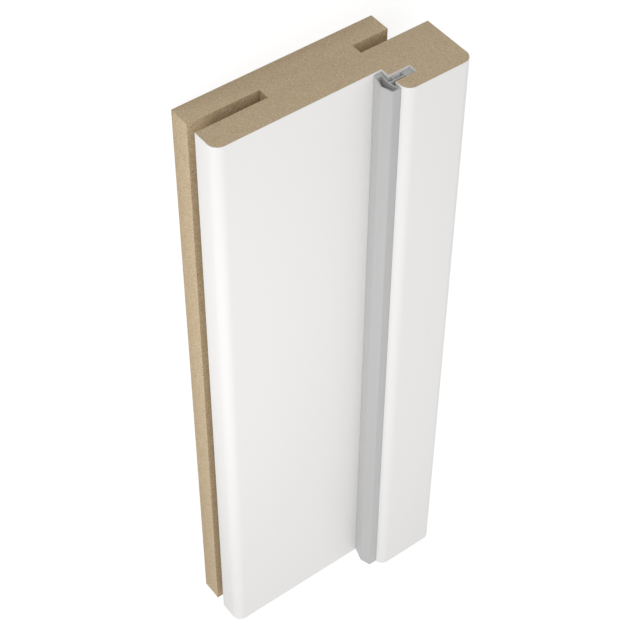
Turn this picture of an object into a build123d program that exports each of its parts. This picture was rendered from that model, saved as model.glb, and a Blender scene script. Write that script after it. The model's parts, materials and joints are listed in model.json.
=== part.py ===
"""A short length of door jamb for telescopic casing.

The jamb is one milled section of fibreboard: a flat board with a door stop along one side,
a casing groove in each edge and a kerf in the stop. White film wraps its show faces and is
tucked into the kerf, and a hollow door seal is pressed in after it. The jamb lies on its back,
with X across the section, Y along the length and Z up from the back face, and its origin is
under its middle.
"""

import os

from build123d import *

# Finished section, film included
jamb_length = 200.0
jamb_width = 70.0
board_thickness = 18.0
stop_width = 21.0
stop_height = 10.0
show_corner_radius = 3.0
film_thickness = 0.1

# Casing grooves in the two edges, and the lips behind them
groove_width = 3.4
groove_depth = 21.0
back_lip_thickness = 6.6
back_lip_setback = 10.0

# Kerf that holds the seal, in the side of the stop, film included
kerf_width = 2.7
kerf_depth = 6.5
kerf_setback = 2.75

# Door seal: hollow head
seal_wall = 0.38
seal_heel_gap = 0.05
seal_heel_thickness = 1.3
seal_head_height = 7.65
seal_ridge_height = 4.4
seal_ridge_reach = 3.7
seal_heel_reach = 2.4
seal_toe_reach = 2.55
seal_back_gap = 0.1
seal_back_bow = 0.85
seal_corner_radius = 0.25
seal_near_gap = 0.6
seal_far_gap = 0.3

# Door seal: stem in the kerf
stem_block_length = 2.7
stem_block_chamfer = 0.35
stem_neck_thickness = 0.45
stem_neck_clearance = 0.85
stem_fin_thickness = 0.35
stem_fin_depth = 0.65

# Heights above the back face
groove_top = back_lip_thickness + groove_width
stop_top = board_thickness + stop_height
kerf_bottom = board_thickness + kerf_setback
kerf_top = kerf_bottom + kerf_width
film_foot = kerf_bottom - film_thickness

# Places across the section, from the stop's outer side to the door side
stop_side = -jamb_width / 2
door_side = jamb_width / 2
stop_face = stop_side + stop_width
kerf_end = stop_face - kerf_depth
film_end = kerf_end - film_thickness

# The near end, where the sections are drawn, the seal's end behind it, and the way to the far end
near_end = Plane.XZ.offset(jamb_length / 2)
seal_end = Plane.XZ.offset(jamb_length / 2 - seal_near_gap)
along = (0, 1, 0)


def show_outline(inset):
    """Outline of the board and stop above the grooves, drawn in from the show faces by inset."""
    with BuildSketch() as outline:
        with BuildLine():
            Polyline(
                (door_side - inset, groove_top),
                (door_side - inset, board_thickness - inset),
                (stop_face - inset, board_thickness - inset),
                (stop_face - inset, stop_top - inset),
                (stop_side + inset, stop_top - inset),
                (stop_side + inset, groove_top),
                close=True,
            )
        make_face()
        levels = outline.vertices().group_by(Axis.Y)
        door_corner = levels[1].sort_by(Axis.X)[-1]
        fillet([door_corner, *levels[-1]], radius=show_corner_radius - inset)
    return outline.sketch


def slot(mouth, depth, bottom, width):
    """A straight slot cut into the section from x = mouth, where a negative depth runs towards -X."""
    with Locations((mouth + depth / 2, bottom)):
        Rectangle(abs(depth), width, align=(Align.CENTER, Align.MIN), mode=Mode.SUBTRACT)


def bar(low_x, high_x, low_z, high_z):
    """A straight bar of the section between two places across and two levels."""
    with Locations(((low_x + high_x) / 2, (low_z + high_z) / 2)):
        Rectangle(high_x - low_x, high_z - low_z)


# Fibreboard section, milled from one piece
with BuildPart() as mdf_jamb:
    with BuildSketch(near_end):
        add(show_outline(film_thickness))
        back_left = stop_side + back_lip_setback
        with Locations((back_left, 0)):
            Rectangle(
                door_side - film_thickness - back_left,
                groove_top,
                align=(Align.MIN, Align.MIN),
            )
        slot(door_side, -groove_depth, back_lip_thickness, groove_width)
        slot(stop_side, groove_depth, back_lip_thickness, groove_width)
        slot(stop_face, film_end - stop_face, film_foot, kerf_top - film_foot)
    extrude(amount=jamb_length, dir=along)

# White film on the show faces, in two strips that meet at the kerf
with BuildSketch() as film_section:
    add(show_outline(0))
    add(show_outline(film_thickness), mode=Mode.SUBTRACT)
    slot(stop_face, -kerf_depth, kerf_bottom, kerf_width)
film_strips = film_section.sketch.faces().sort_by(Axis.X)

with BuildPart() as stop_film:
    with BuildSketch(near_end):
        add(film_strips[0])
    extrude(amount=jamb_length, dir=along)

# The rebate's strip is tucked into the kerf, along its floor and up its end
with BuildPart() as rebate_film:
    with BuildSketch(near_end):
        add(film_strips[-1])
        bar(film_end, stop_face, film_foot, kerf_bottom)
        bar(film_end, kerf_end, film_foot, kerf_top)
    extrude(amount=jamb_length, dir=along)

# Door seal: the head's outline, from the heel near the board round the ridge to the toe
heel_level = board_thickness + seal_heel_gap
chamber_level = heel_level + seal_heel_thickness
ridge_level = heel_level + seal_ridge_height
toe_level = heel_level + seal_head_height
head_back = stop_face + seal_back_gap
heel_corner = (head_back, heel_level)
toe_corner = (head_back, toe_level)

with BuildSketch() as seal_head:
    with BuildLine():
        Polyline(
            heel_corner,
            (stop_face + seal_heel_reach, heel_level),
            (stop_face + seal_ridge_reach, ridge_level),
            (stop_face + seal_toe_reach, toe_level),
            toe_corner,
        )
        SagittaArc(toe_corner, heel_corner, seal_back_bow)
    make_face()
    levels = seal_head.vertices().group_by(Axis.Y)
    outer_toe = levels[-1].sort_by(Axis.X)[-1]
    fillet([*levels[0], *levels[1], outer_toe], radius=seal_corner_radius)

with BuildSketch() as seal_chamber:
    add(seal_head.sketch)
    offset(amount=-seal_wall, kind=Kind.INTERSECTION, mode=Mode.REPLACE)
    split(bisect_by=Plane.XZ.offset(-chamber_level), keep=Keep.BOTTOM)

# Door seal: the stem's neck, the block at its end and the fin that stands on the kerf's floor
neck_top = kerf_top - stem_neck_clearance
neck_bottom = neck_top - stem_neck_thickness
neck_start = head_back + seal_back_bow + seal_wall / 2
block_face = kerf_end + stem_block_length
fin_face = stop_face - stem_fin_depth

with BuildSketch() as seal_stem:
    bar(kerf_end, block_face, kerf_bottom, kerf_top)
    chamfer(seal_stem.vertices().group_by(Axis.X)[0], length=stem_block_chamfer)
    bar(block_face, neck_start, neck_bottom, neck_top)
    bar(fin_face - stem_fin_thickness, fin_face, kerf_bottom, neck_top)

with BuildPart() as door_seal:
    with BuildSketch(seal_end):
        add(seal_head.sketch)
        add(seal_stem.sketch)
        add(seal_chamber.sketch, mode=Mode.SUBTRACT)
    extrude(amount=jamb_length - seal_near_gap - seal_far_gap, dir=along)

mdf_jamb.part.label = "mdf_jamb"
rebate_film.part.label = "rebate_film"
stop_film.part.label = "stop_film"
door_seal.part.label = "door_seal"

os.makedirs("parts", exist_ok=True)
for piece in (mdf_jamb, rebate_film, stop_film, door_seal):
    export_step(piece.part, f"parts/{piece.part.label}.step")
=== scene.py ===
"""Looks of a short length of door jamb: raw fibreboard, satin white film and a grey door seal.

The jamb lies on its back in metres, with X across the section from the stop to the door side,
Y along the length from the near cut end to the far one, and Z up from the back to the show faces.
"""

import json
import math

import bmesh
import bpy
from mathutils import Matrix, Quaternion, Vector

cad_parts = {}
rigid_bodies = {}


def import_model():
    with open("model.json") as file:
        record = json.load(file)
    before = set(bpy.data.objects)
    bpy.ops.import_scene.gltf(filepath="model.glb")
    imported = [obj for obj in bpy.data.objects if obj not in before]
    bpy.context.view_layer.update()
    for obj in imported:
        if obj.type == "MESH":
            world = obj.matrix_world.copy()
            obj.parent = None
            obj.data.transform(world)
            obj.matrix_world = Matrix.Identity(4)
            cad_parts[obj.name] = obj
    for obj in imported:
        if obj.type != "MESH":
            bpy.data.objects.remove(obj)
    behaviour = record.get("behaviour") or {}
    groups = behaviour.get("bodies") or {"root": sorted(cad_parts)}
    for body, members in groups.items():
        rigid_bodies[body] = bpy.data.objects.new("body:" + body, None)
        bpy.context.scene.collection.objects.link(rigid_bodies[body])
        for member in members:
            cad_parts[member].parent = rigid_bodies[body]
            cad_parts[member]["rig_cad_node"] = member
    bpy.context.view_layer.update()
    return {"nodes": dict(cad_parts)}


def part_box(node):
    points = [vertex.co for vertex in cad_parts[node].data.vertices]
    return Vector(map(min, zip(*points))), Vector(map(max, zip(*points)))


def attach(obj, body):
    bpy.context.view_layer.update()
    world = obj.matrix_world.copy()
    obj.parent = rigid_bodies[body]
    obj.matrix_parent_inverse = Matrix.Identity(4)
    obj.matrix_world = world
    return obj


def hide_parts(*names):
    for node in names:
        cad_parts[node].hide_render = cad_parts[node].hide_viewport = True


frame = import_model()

MM = 0.001

# Edges: how far the sharp corners of each piece are eased, in how many steps, and what counts as sharp
RAW_ARRIS = 0.06 * MM
FILM_ARRIS = 0.03 * MM
SEAL_ARRIS = 0.06 * MM
ARRIS_STEPS = 2
SHARP_ANGLE = math.radians(30)

# Faces that are merged into one, and corners that count as one
FLAT_ANGLE = math.radians(0.5)
MERGE_DISTANCE = 0.001 * MM

# Seal: where its end faces are split, so that none runs round a hole, how far in from its ends it looks
# cut, and how far its soft toe leans back onto the stop
SEAL_SPLITS = (-12.2 * MM,)
CUT_DEPTH = 0.05 * MM
TOE_LEAN = 0.16 * MM

# Casing grooves: their lower and upper walls, where they end on either side of the middle, and a margin
GROOVE_BOTTOM = 6.6 * MM
GROOVE_TOP = 10.0 * MM
GROOVE_END = 14.0 * MM
HAIR = 0.02 * MM

# Noises: the range that one mostly stays within, and its middle
NOISE_RANGE = (0.3, 0.7)
NOISE_MIDDLE = 0.5

# Sockets of a colour mix, by their order on the node
MIX_FIRST = 6
MIX_SECOND = 7
MIX_RESULT = 2

# Fibreboard: its tones, each at its place on the scale of the fibres, and its other colours
MDF_TONES = (
    (0.38, (0.312, 0.239, 0.147, 1)),
    (0.5, (0.57, 0.455, 0.303, 1)),
    (0.62, (0.8, 0.668, 0.488, 1)),
)
MDF_WARM = (0.58, 0.42, 0.235, 1)
MDF_FLECK = (0.233, 0.164, 0.09, 1)
# Painted shade: a darker colour multiplied onto the walls of the casing grooves, which lie in shade under
# the film
GROOVE_PAINTED_SHADE = (0.87, 0.85, 0.81, 1)

# Fibreboard: grains per metre along X, Y and Z, with their detail, harshness and waver
FIBRES_ACROSS = (2200, 4200, 4200)
FIBRES_ALONG = (3600, 3000, 4200)
FIBRE_DETAIL = 6.0
FIBRE_HARSHNESS = 0.72
FIBRE_WAVER = 0.4
LAYERS = (1050, 1600, 5400)
LAYER_DETAIL = 4.0
LAYER_HARSHNESS = 0.6
LAYER_WAVER = 0.2
CLUMPS = (320, 320, 520)
CLUMP_DETAIL = 3.0
WARM_PATCHES = (1150, 1700, 1800)
FLECKS = (1700, 2400, 2600)
FLECK_DETAIL = 1.0

# Fibreboard: what each grain adds to the tone, and the noise at which patches and flecks show, and how much
FIBRE_SHARE = 0.38
LAYER_SHARE = 0.24
CLUMP_SHARE = 0.05
WARM_ONSET = (0.42, 0.68)
WARM_SHARE = (0.0, 0.45)
FLECK_ONSET = (0.65, 0.73)
FLECK_SHARE = (0.0, 0.65)

# Fibreboard: surface
MDF_ROUGHNESS = (0.95, 0.82)
MDF_SPECULAR = 0.25
MDF_RELIEF = 0.06 * MM
MDF_RELIEF_STRENGTH = 0.5

# Film: colours, the slow drift between them, and its fine unevenness
FILM_WHITE = (0.869, 0.858, 0.842, 1)
FILM_SHADE = (0.85, 0.843, 0.83, 1)
FILM_DRIFT = (30, 12, 30)
FILM_GRAIN = (900, 900, 900)
FILM_ROUGHNESS = (0.42, 0.5)
FILM_SPECULAR = 0.35
FILM_RELIEF = 0.004 * MM
FILM_RELIEF_STRENGTH = 0.4

# Seal: colours, the streaks along it, its fine grain, and the soft bloom on it where it is seen aslant
SEAL_GREY = (0.524, 0.524, 0.524, 1)
SEAL_STREAK = (0.492, 0.492, 0.494, 1)
SEAL_CUT = (0.475, 0.475, 0.478, 1)
SEAL_STREAKS = (2400, 9, 2400)
SEAL_GRAIN = (6000, 6000, 6000)
SEAL_GRAIN_DETAIL = 1.0
SEAL_ROUGHNESS = (0.42, 0.52)
SEAL_IOR = 1.48
SEAL_BLOOM = 0.45
SEAL_BLOOM_ROUGHNESS = 0.3
SEAL_STREAK_SHARE = 0.7
SEAL_GRAIN_SHARE = 0.3
SEAL_RELIEF = 0.012 * MM
SEAL_RELIEF_STRENGTH = 0.5

# Studio
WHITE = (1, 1, 1, 1)
AMBIENT = 0.98
ZENITH_DIMMING = 0.23
SEEN_SKY = 1.0
FLOOR_SIZE = 8.0
FLOOR_PALE = (0.61, 0.61, 0.61, 1)
FLOOR_SHADOW_SHARE = (0.28, 0.28, 0.28, 1)
FLOOR_GLOW = 0.81
KEY_PLACE = Vector((0.22, -0.05, 0.12))
KEY_RADIUS = 0.035
KEY_POWER = 0.628

# Camera: place, a point on its axis, roll about that axis, lens, and how near it sees
CAMERA_PLACE = Vector((0.19564, -0.37181, 0.26913))
CAMERA_AIM = Vector((0.00048, -0.01543, 0.01358))
CAMERA_ROLL = math.radians(134.793)
CAMERA_LENS = 98.104
CAMERA_SENSOR = 36.0
CAMERA_NEAR = 0.01


def select_only(piece):
    """Makes one object the only selected one, and the active one."""
    bpy.ops.object.select_all(action="DESELECT")
    piece.select_set(True)
    bpy.context.view_layer.objects.active = piece


def open_mesh(piece, kind):
    """Opens a piece in edit mode, with nothing selected, to pick its corners or its edges."""
    select_only(piece)
    bpy.ops.object.mode_set(mode="EDIT")
    bpy.ops.mesh.select_mode(type=kind)
    bpy.ops.mesh.select_all(action="DESELECT")
    return bmesh.from_edit_mesh(piece.data)


def dressed_copy(node, name, splits=()):
    """A copy of a node with its triangles merged into whole faces, which stands for the node."""
    select_only(frame["nodes"][node])
    bpy.ops.object.duplicate()
    piece = bpy.context.active_object
    piece.name = name
    piece.data.name = name
    del piece["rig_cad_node"]
    bpy.ops.mesh.customdata_custom_splitnormals_clear()
    bpy.ops.object.mode_set(mode="EDIT")
    bpy.ops.mesh.select_all(action="SELECT")
    bpy.ops.mesh.remove_doubles(threshold=MERGE_DISTANCE)
    for place in splits:
        bpy.ops.mesh.select_all(action="SELECT")
        bpy.ops.mesh.bisect(plane_co=(place, 0, 0), plane_no=(1, 0, 0), threshold=MERGE_DISTANCE)
        bpy.ops.mesh.mark_seam(clear=False)
    bpy.ops.mesh.select_all(action="SELECT")
    bpy.ops.mesh.dissolve_limited(angle_limit=FLAT_ANGLE, delimit={"SEAM"})
    bpy.ops.object.mode_set(mode="OBJECT")
    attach(piece, "root")
    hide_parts(node)
    return piece


def ease_edges(piece, arris, chosen):
    """Bevels the piece's sharp edges that the chosen test accepts, and shades its roundings smooth."""
    shape = open_mesh(piece, "EDGE")
    for edge in shape.edges:
        sharp = edge.calc_face_angle(0) > SHARP_ANGLE
        edge.select_set(sharp and chosen(edge))
    bmesh.update_edit_mesh(piece.data)
    bpy.ops.mesh.bevel(offset=arris, segments=ARRIS_STEPS, affect="EDGES")
    bpy.ops.mesh.select_mode(type="VERT")
    bpy.ops.object.mode_set(mode="OBJECT")
    bpy.ops.object.shade_smooth_by_angle(angle=SHARP_ANGLE)


def any_edge(edge):
    """Accepts every edge."""
    return True


def raw_edge(edge):
    """Accepts the fibreboard's bare outer corners: those of the lips, below the film."""
    film_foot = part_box("stop_film")[0].z
    below_film = all(corner.co.z < film_foot + MERGE_DISTANCE for corner in edge.verts)
    return below_film and edge.is_convex


def lean_toe(seal):
    """Leans the back edge of the seal's toe onto the stop, as the soft lip of a fitted seal lies."""
    shape = open_mesh(seal, "VERT")
    toe_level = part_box("door_seal")[1].z
    toe = [corner for corner in shape.verts if corner.co.z > toe_level - MERGE_DISTANCE]
    back = min(corner.co.x for corner in toe)
    for corner in toe:
        corner.select_set(corner.co.x < back + MERGE_DISTANCE)
    bmesh.update_edit_mesh(seal.data)
    bpy.ops.transform.translate(value=(-TOE_LEAN, 0, 0))
    bpy.ops.object.mode_set(mode="OBJECT")


def new_material(name):
    """A material with its node tree and its main shader."""
    material = bpy.data.materials.new(name)
    material.use_nodes = True
    tree = material.node_tree
    return material, tree, tree.nodes["Principled BSDF"]


def finish_with(piece, material):
    """Gives a piece its one material."""
    piece.data.materials.clear()
    piece.data.materials.append(material)


def add_node(tree, kind, **settings):
    """A node of the given kind, with its settings."""
    node = tree.nodes.new(kind)
    for setting, value in settings.items():
        setattr(node, setting, value)
    return node


def object_axes(tree):
    """The object's own X, Y and Z."""
    place = add_node(tree, "ShaderNodeTexCoord")
    axes = add_node(tree, "ShaderNodeSeparateXYZ")
    tree.links.new(place.outputs["Object"], axes.inputs["Vector"])
    return axes.outputs


def stretched_place(tree, grains):
    """Object coordinates, stretched so that a noise of scale 1 has the given grains per metre each way."""
    place = add_node(tree, "ShaderNodeTexCoord")
    mapping = add_node(tree, "ShaderNodeMapping")
    mapping.inputs["Scale"].default_value = grains
    tree.links.new(place.outputs["Object"], mapping.inputs["Vector"])
    return mapping.outputs["Vector"]


def noise(tree, grains, detail=2.0, harshness=0.5, waver=0.0):
    """A noise with the given grains per metre along X, Y and Z."""
    texture = add_node(tree, "ShaderNodeTexNoise")
    tree.links.new(stretched_place(tree, grains), texture.inputs["Vector"])
    texture.inputs["Scale"].default_value = 1.0
    texture.inputs["Detail"].default_value = detail
    texture.inputs["Roughness"].default_value = harshness
    texture.inputs["Distortion"].default_value = waver
    return texture.outputs["Fac"]


def remap(tree, value, old_range, new_range):
    """A value moved from one range to another, clamped at its ends."""
    node = add_node(tree, "ShaderNodeMapRange")
    tree.links.new(value, node.inputs["Value"])
    node.inputs["From Min"].default_value = old_range[0]
    node.inputs["From Max"].default_value = old_range[1]
    node.inputs["To Min"].default_value = new_range[0]
    node.inputs["To Max"].default_value = new_range[1]
    return node.outputs["Result"]


def past(tree, value, place):
    """0 up to a place and 1 from a hair beyond it."""
    return remap(tree, value, (place, place + HAIR), (0.0, 1.0))


def combine(tree, operation, first, second):
    """Two values, or a value and a number, joined by a sum, product or other operation."""
    node = add_node(tree, "ShaderNodeMath", operation=operation)
    for socket, value in zip(node.inputs, (first, second)):
        if isinstance(value, (int, float)):
            socket.default_value = value
        else:
            tree.links.new(value, socket)
    return node.outputs["Value"]


def mix_colours(tree, share, first, second, blend="MIX"):
    """A colour between two colours, or one tinted by the other, each a socket or a fixed colour."""
    node = add_node(tree, "ShaderNodeMix", data_type="RGBA", blend_type=blend)
    tree.links.new(share, node.inputs["Factor"])
    for number, colour in ((MIX_FIRST, first), (MIX_SECOND, second)):
        if isinstance(colour, tuple):
            node.inputs[number].default_value = colour
        else:
            tree.links.new(colour, node.inputs[number])
    return node.outputs[MIX_RESULT]


def colour_ramp(tree, value, stops):
    """A value turned into a colour by stops of place and colour."""
    node = add_node(tree, "ShaderNodeValToRGB")
    ramp = node.color_ramp
    while len(ramp.elements) < len(stops):
        ramp.elements.new(NOISE_MIDDLE)
    for element, (place, colour) in zip(ramp.elements, stops):
        element.position = place
        element.color = colour
    tree.links.new(value, node.inputs["Fac"])
    return node.outputs["Color"]


def add_bump(tree, shader, height, distance, strength):
    """Relief of the given height in metres, from a value of 0 to 1."""
    bump = add_node(tree, "ShaderNodeBump")
    bump.inputs["Strength"].default_value = strength
    bump.inputs["Distance"].default_value = distance
    tree.links.new(height, bump.inputs["Height"])
    tree.links.new(bump.outputs["Normal"], shader.inputs["Normal"])


def groove_walls(tree):
    """1 on the walls of the casing grooves, where shade is painted, and 0 on the rest of the board."""
    axes = object_axes(tree)
    over = past(tree, axes["Z"], GROOVE_BOTTOM - 2 * HAIR)
    above = past(tree, axes["Z"], GROOVE_TOP + HAIR)
    beside = past(tree, combine(tree, "ABSOLUTE", axes["X"], 0.0), GROOVE_END - 2 * HAIR)
    return combine(tree, "MULTIPLY", combine(tree, "SUBTRACT", over, above), beside)


def board_fibres(tree):
    """Short fibres that run both ways in the board and lie in flat layers."""
    across = noise(tree, FIBRES_ACROSS, FIBRE_DETAIL, FIBRE_HARSHNESS, FIBRE_WAVER)
    along = noise(tree, FIBRES_ALONG, FIBRE_DETAIL, FIBRE_HARSHNESS, FIBRE_WAVER)
    layers = noise(tree, LAYERS, LAYER_DETAIL, LAYER_HARSHNESS, LAYER_WAVER)
    strands = combine(tree, "MULTIPLY", combine(tree, "ADD", across, along), FIBRE_SHARE)
    return combine(tree, "ADD", strands, combine(tree, "MULTIPLY", layers, LAYER_SHARE))


def raw_mdf():
    """Bare fibreboard, with warm patches, dark flecks and painted shade on the walls of the grooves."""
    material, tree, shader = new_material("raw_mdf")
    fibres = board_fibres(tree)
    clumps = combine(tree, "SUBTRACT", noise(tree, CLUMPS, CLUMP_DETAIL), NOISE_MIDDLE)
    tone = combine(tree, "ADD", fibres, combine(tree, "MULTIPLY", clumps, CLUMP_SHARE))
    colour = colour_ramp(tree, tone, MDF_TONES)
    warmth = remap(tree, noise(tree, WARM_PATCHES), WARM_ONSET, WARM_SHARE)
    colour = mix_colours(tree, warmth, colour, MDF_WARM)
    flecks = remap(tree, noise(tree, FLECKS, FLECK_DETAIL), FLECK_ONSET, FLECK_SHARE)
    colour = mix_colours(tree, flecks, colour, MDF_FLECK)
    # Painted shade multiplied onto the walls of the casing grooves
    colour = mix_colours(tree, groove_walls(tree), colour, GROOVE_PAINTED_SHADE, "MULTIPLY")
    tree.links.new(colour, shader.inputs["Base Color"])
    tree.links.new(remap(tree, fibres, NOISE_RANGE, MDF_ROUGHNESS), shader.inputs["Roughness"])
    shader.inputs["Specular IOR Level"].default_value = MDF_SPECULAR
    add_bump(tree, shader, fibres, MDF_RELIEF, MDF_RELIEF_STRENGTH)
    return material


def white_film():
    """Satin white wrapping film, faintly uneven where the board's fibres show through it."""
    material, tree, shader = new_material("white_film")
    drift = noise(tree, FILM_DRIFT)
    tree.links.new(mix_colours(tree, drift, FILM_WHITE, FILM_SHADE), shader.inputs["Base Color"])
    grain = noise(tree, FILM_GRAIN)
    tree.links.new(remap(tree, grain, NOISE_RANGE, FILM_ROUGHNESS), shader.inputs["Roughness"])
    shader.inputs["Specular IOR Level"].default_value = FILM_SPECULAR
    add_bump(tree, shader, grain, FILM_RELIEF, FILM_RELIEF_STRENGTH)
    return material


def cut_ends(tree, node):
    """1 at the two cut ends of a node and 0 along the rest of it."""
    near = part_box(node)[0].y
    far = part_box(node)[1].y
    along = object_axes(tree)["Y"]
    near_cut = remap(tree, along, (near + CUT_DEPTH, near), (0.0, 1.0))
    far_cut = remap(tree, along, (far - CUT_DEPTH, far), (0.0, 1.0))
    return combine(tree, "MAXIMUM", near_cut, far_cut)


def grey_seal():
    """Soft grey extrusion, with faint streaks drawn along its length, a soft bloom and duller cut ends."""
    material, tree, shader = new_material("grey_seal")
    streaks = noise(tree, SEAL_STREAKS)
    colour = mix_colours(tree, streaks, SEAL_GREY, SEAL_STREAK)
    colour = mix_colours(tree, cut_ends(tree, "door_seal"), colour, SEAL_CUT)
    tree.links.new(colour, shader.inputs["Base Color"])
    grain = noise(tree, SEAL_GRAIN, SEAL_GRAIN_DETAIL)
    tree.links.new(remap(tree, grain, NOISE_RANGE, SEAL_ROUGHNESS), shader.inputs["Roughness"])
    shader.inputs["IOR"].default_value = SEAL_IOR
    shader.inputs["Sheen Weight"].default_value = SEAL_BLOOM
    shader.inputs["Sheen Roughness"].default_value = SEAL_BLOOM_ROUGHNESS
    drawn = combine(tree, "MULTIPLY", streaks, SEAL_STREAK_SHARE)
    grained = combine(tree, "MULTIPLY", grain, SEAL_GRAIN_SHARE)
    add_bump(tree, shader, combine(tree, "ADD", drawn, grained), SEAL_RELIEF, SEAL_RELIEF_STRENGTH)
    return material


def dress_jamb():
    """The fibreboard, its two strips of film and the seal, each with eased edges and its own finish."""
    film = white_film()
    board = dressed_copy("mdf_jamb", "milled_board")
    ease_edges(board, RAW_ARRIS, raw_edge)
    finish_with(board, raw_mdf())
    for node in ("rebate_film", "stop_film"):
        strip = dressed_copy(node, f"{node}_wrap")
        ease_edges(strip, FILM_ARRIS, any_edge)
        finish_with(strip, film)
    seal = dressed_copy("door_seal", "seal_extrusion", SEAL_SPLITS)
    lean_toe(seal)
    ease_edges(seal, SEAL_ARRIS, any_edge)
    finish_with(seal, grey_seal())


def seen_directly(tree):
    """1 for rays from the camera, a reflection or a clear piece, and 0 for rays that carry light."""
    rays = add_node(tree, "ShaderNodeLightPath")
    seen = combine(tree, "MAXIMUM", rays.outputs["Is Camera Ray"], rays.outputs["Is Glossy Ray"])
    return combine(tree, "MAXIMUM", seen, rays.outputs["Is Transmission Ray"])


def pale_floor():
    """A wide floor that looks white, keeps the jamb's shadow and bounces light as a pale floor does."""
    bpy.ops.object.select_all(action="DESELECT")
    bpy.ops.mesh.primitive_plane_add(size=FLOOR_SIZE)
    floor = bpy.context.active_object
    floor.name = "floor"
    material = bpy.data.materials.new("floor_white")
    material.use_nodes = True
    tree = material.node_tree
    tree.nodes.clear()
    bounce = add_node(tree, "ShaderNodeBsdfDiffuse")
    bounce.inputs["Color"].default_value = FLOOR_PALE
    shadow = add_node(tree, "ShaderNodeBsdfDiffuse")
    shadow.inputs["Color"].default_value = FLOOR_SHADOW_SHARE
    glow = add_node(tree, "ShaderNodeEmission")
    glow.inputs["Strength"].default_value = FLOOR_GLOW
    shown = add_node(tree, "ShaderNodeAddShader")
    tree.links.new(shadow.outputs["BSDF"], shown.inputs[0])
    tree.links.new(glow.outputs["Emission"], shown.inputs[1])
    mix = add_node(tree, "ShaderNodeMixShader")
    tree.links.new(seen_directly(tree), mix.inputs["Fac"])
    tree.links.new(bounce.outputs["BSDF"], mix.inputs[1])
    tree.links.new(shown.outputs["Shader"], mix.inputs[2])
    output = add_node(tree, "ShaderNodeOutputMaterial")
    tree.links.new(mix.outputs["Shader"], output.inputs["Surface"])
    finish_with(floor, material)


def soft_sky():
    """A soft light from all round, a little weaker overhead, which looks white where it is seen."""
    world = bpy.data.worlds.new("studio")
    bpy.context.scene.world = world
    world.use_nodes = True
    tree = world.node_tree
    tree.nodes.clear()
    ambient = add_node(tree, "ShaderNodeBackground")
    ambient.inputs["Color"].default_value = WHITE
    way = add_node(tree, "ShaderNodeTexCoord")
    height = add_node(tree, "ShaderNodeSeparateXYZ")
    tree.links.new(way.outputs["Generated"], height.inputs["Vector"])
    dimming = combine(tree, "MULTIPLY", height.outputs["Z"], AMBIENT * ZENITH_DIMMING)
    tree.links.new(combine(tree, "SUBTRACT", AMBIENT, dimming), ambient.inputs["Strength"])
    white = add_node(tree, "ShaderNodeBackground")
    white.inputs["Color"].default_value = WHITE
    white.inputs["Strength"].default_value = SEEN_SKY
    mix = add_node(tree, "ShaderNodeMixShader")
    tree.links.new(seen_directly(tree), mix.inputs["Fac"])
    tree.links.new(ambient.outputs["Background"], mix.inputs[1])
    tree.links.new(white.outputs["Background"], mix.inputs[2])
    output = add_node(tree, "ShaderNodeOutputWorld")
    tree.links.new(mix.outputs["Shader"], output.inputs["Surface"])


def key_light():
    """A small soft lamp beside the door side, a little above the jamb."""
    bpy.ops.object.light_add(type="POINT", location=KEY_PLACE)
    key = bpy.context.active_object
    key.name = "key_light"
    key.data.shadow_soft_size = KEY_RADIUS
    key.data.energy = KEY_POWER
    key.visible_camera = False
    key.visible_glossy = False


def photo_camera():
    """The camera at the photograph's viewing angle, rolled so that the jamb stands up in the picture."""
    bpy.ops.object.camera_add(location=CAMERA_PLACE)
    camera = bpy.context.active_object
    camera.name = "photo_camera"
    level = (CAMERA_AIM - CAMERA_PLACE).to_track_quat("-Z", "Y")
    roll = Quaternion((0, 0, 1), CAMERA_ROLL)
    camera.rotation_euler = (level @ roll).to_euler()
    camera.data.lens = CAMERA_LENS
    camera.data.sensor_width = CAMERA_SENSOR
    camera.data.clip_start = CAMERA_NEAR
    bpy.context.scene.camera = camera


dress_jamb()
pale_floor()
soft_sky()
key_light()
photo_camera()
bpy.context.scene.view_settings.view_transform = "Standard"
